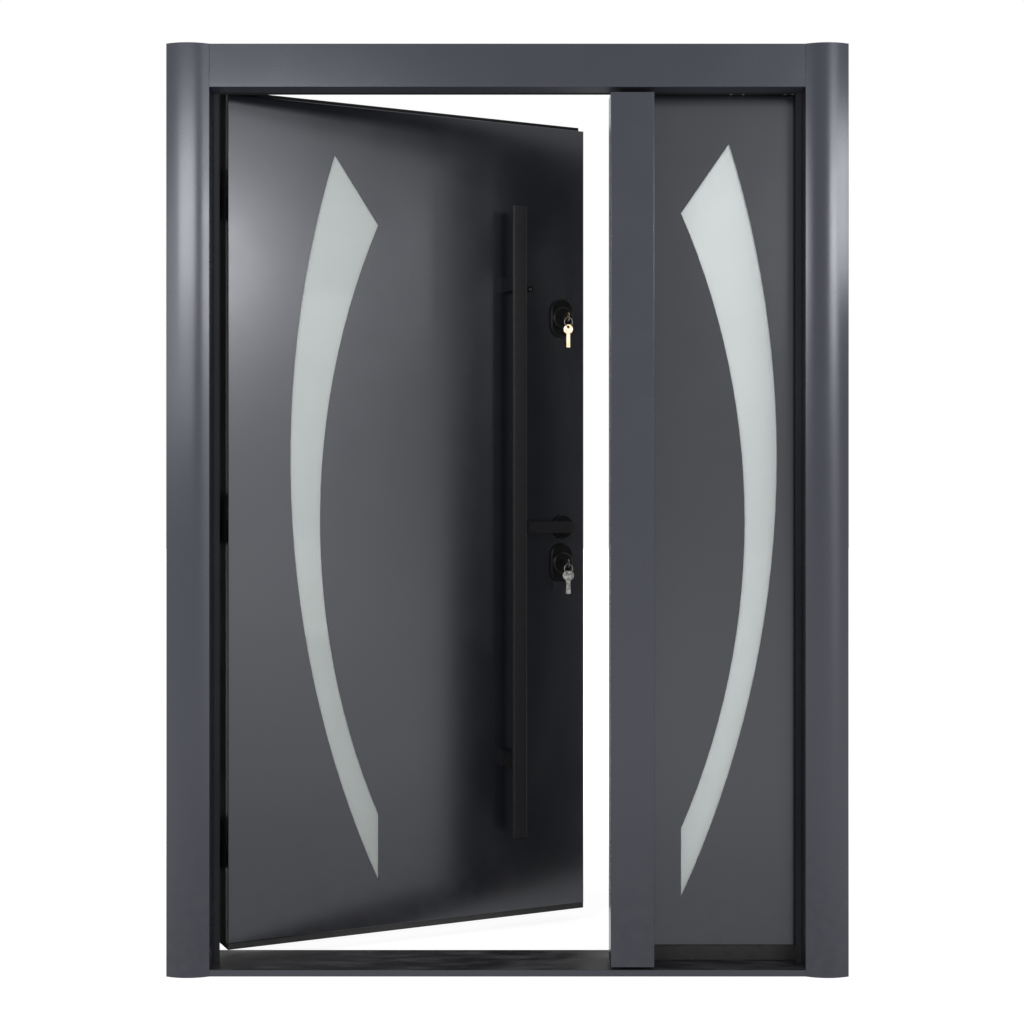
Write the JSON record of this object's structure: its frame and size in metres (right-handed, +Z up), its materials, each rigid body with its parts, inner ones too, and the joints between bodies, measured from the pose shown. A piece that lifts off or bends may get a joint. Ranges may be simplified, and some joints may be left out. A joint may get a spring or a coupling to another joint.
{
  "type": "hinged steel entrance door with narrow side leaf",
  "caption": "Anthracite steel entrance door: wide hinged leaf ajar beside a narrow bolted leaf, crescent windows, pull bar, lever and locks, in a frame with half-round casings.",
  "frame": {"origin": "on the floor, in the middle of the sill's underside, in the plane of the shut leaves' outer face", "axes": "+Z up, +Y from outdoors to indoors, +X to the right for someone outdoors"},
  "size_m": [1.5, 0.573, 2.05],
  "materials": {
    "anthracite_frame": "satin powder coat",
    "anthracite_leaf": "satin powder coat",
    "anthracite_edge": "matt paint",
    "dark_sill": "scuffed matt",
    "black_rubber": "matt",
    "frosted_glass": "etched inside, glossy outside",
    "black_fittings": "satin black",
    "hinge_steel": "satin",
    "bright_steel": "nickel plate",
    "key_brass": "worn nickel over brass"
  },
  "bodies": {
    "frame": {"cover_post": "anthracite_frame", "flush_bolts": "bright_steel", "frame_hinge_halves": "hinge_steel", "frame_seal": "black_rubber", "head_jamb": "anthracite_edge", "header_casing": "anthracite_frame", "left_casing": "anthracite_frame", "left_jamb": "anthracite_edge", "right_casing": "anthracite_frame", "right_jamb": "anthracite_edge", "side_bottom_seal": "black_rubber", "side_core": "anthracite_edge", "side_front_panel": "anthracite_leaf", "side_glass": "frosted_glass", "side_hinges": "hinge_steel", "side_rear_panel": "anthracite_leaf", "sill": "dark_sill", "strike_plate": "bright_steel"},
    "main_leaf": {"main_front_panel": "anthracite_leaf", "main_core": "anthracite_edge", "main_rear_panel": "anthracite_leaf", "main_glass": "frosted_glass", "main_bottom_seal": "black_rubber", "leaf_hinge_halves": "hinge_steel", "pull_bar": "black_fittings", "pull_bar_standoffs": "black_fittings", "upper_escutcheon": "black_fittings", "lower_escutcheon": "black_fittings", "upper_plug": "black_fittings", "lower_plug": "black_fittings", "upper_key": "key_brass", "lower_key": "bright_steel", "upper_key_ring": "bright_steel", "lower_key_ring": "bright_steel", "upper_spare_key": "key_brass", "lower_spare_keys": "bright_steel", "outside_rose": "black_fittings", "inside_rose": "black_fittings", "inside_escutcheons": "black_fittings", "inside_plugs": "black_fittings", "door_viewer": "black_fittings", "lock_plate": "bright_steel", "lock_bolts": "bright_steel"},
    "lever": {"outside_lever": "black_fittings", "inside_lever": "black_fittings", "spindle": "bright_steel"}
  },
  "joints": [
    {"name": "main_leaf_hinge", "type": "hinge", "parent": "frame", "child": "main_leaf", "pos_m": [-0.668, 0.084, 0], "axis": [0, 0, 1], "range_deg": [-25.5, 84.5]},
    {"name": "lever_turn", "type": "hinge", "parent": "main_leaf", "child": "lever", "pos_m": [0.13446, 0.37369, 0.98], "axis": [0.4305, -0.9026, 0], "range_deg": [0, 45], "stiffness_Nm_per_rad": 2, "springref_deg": -28.65}
  ]
}
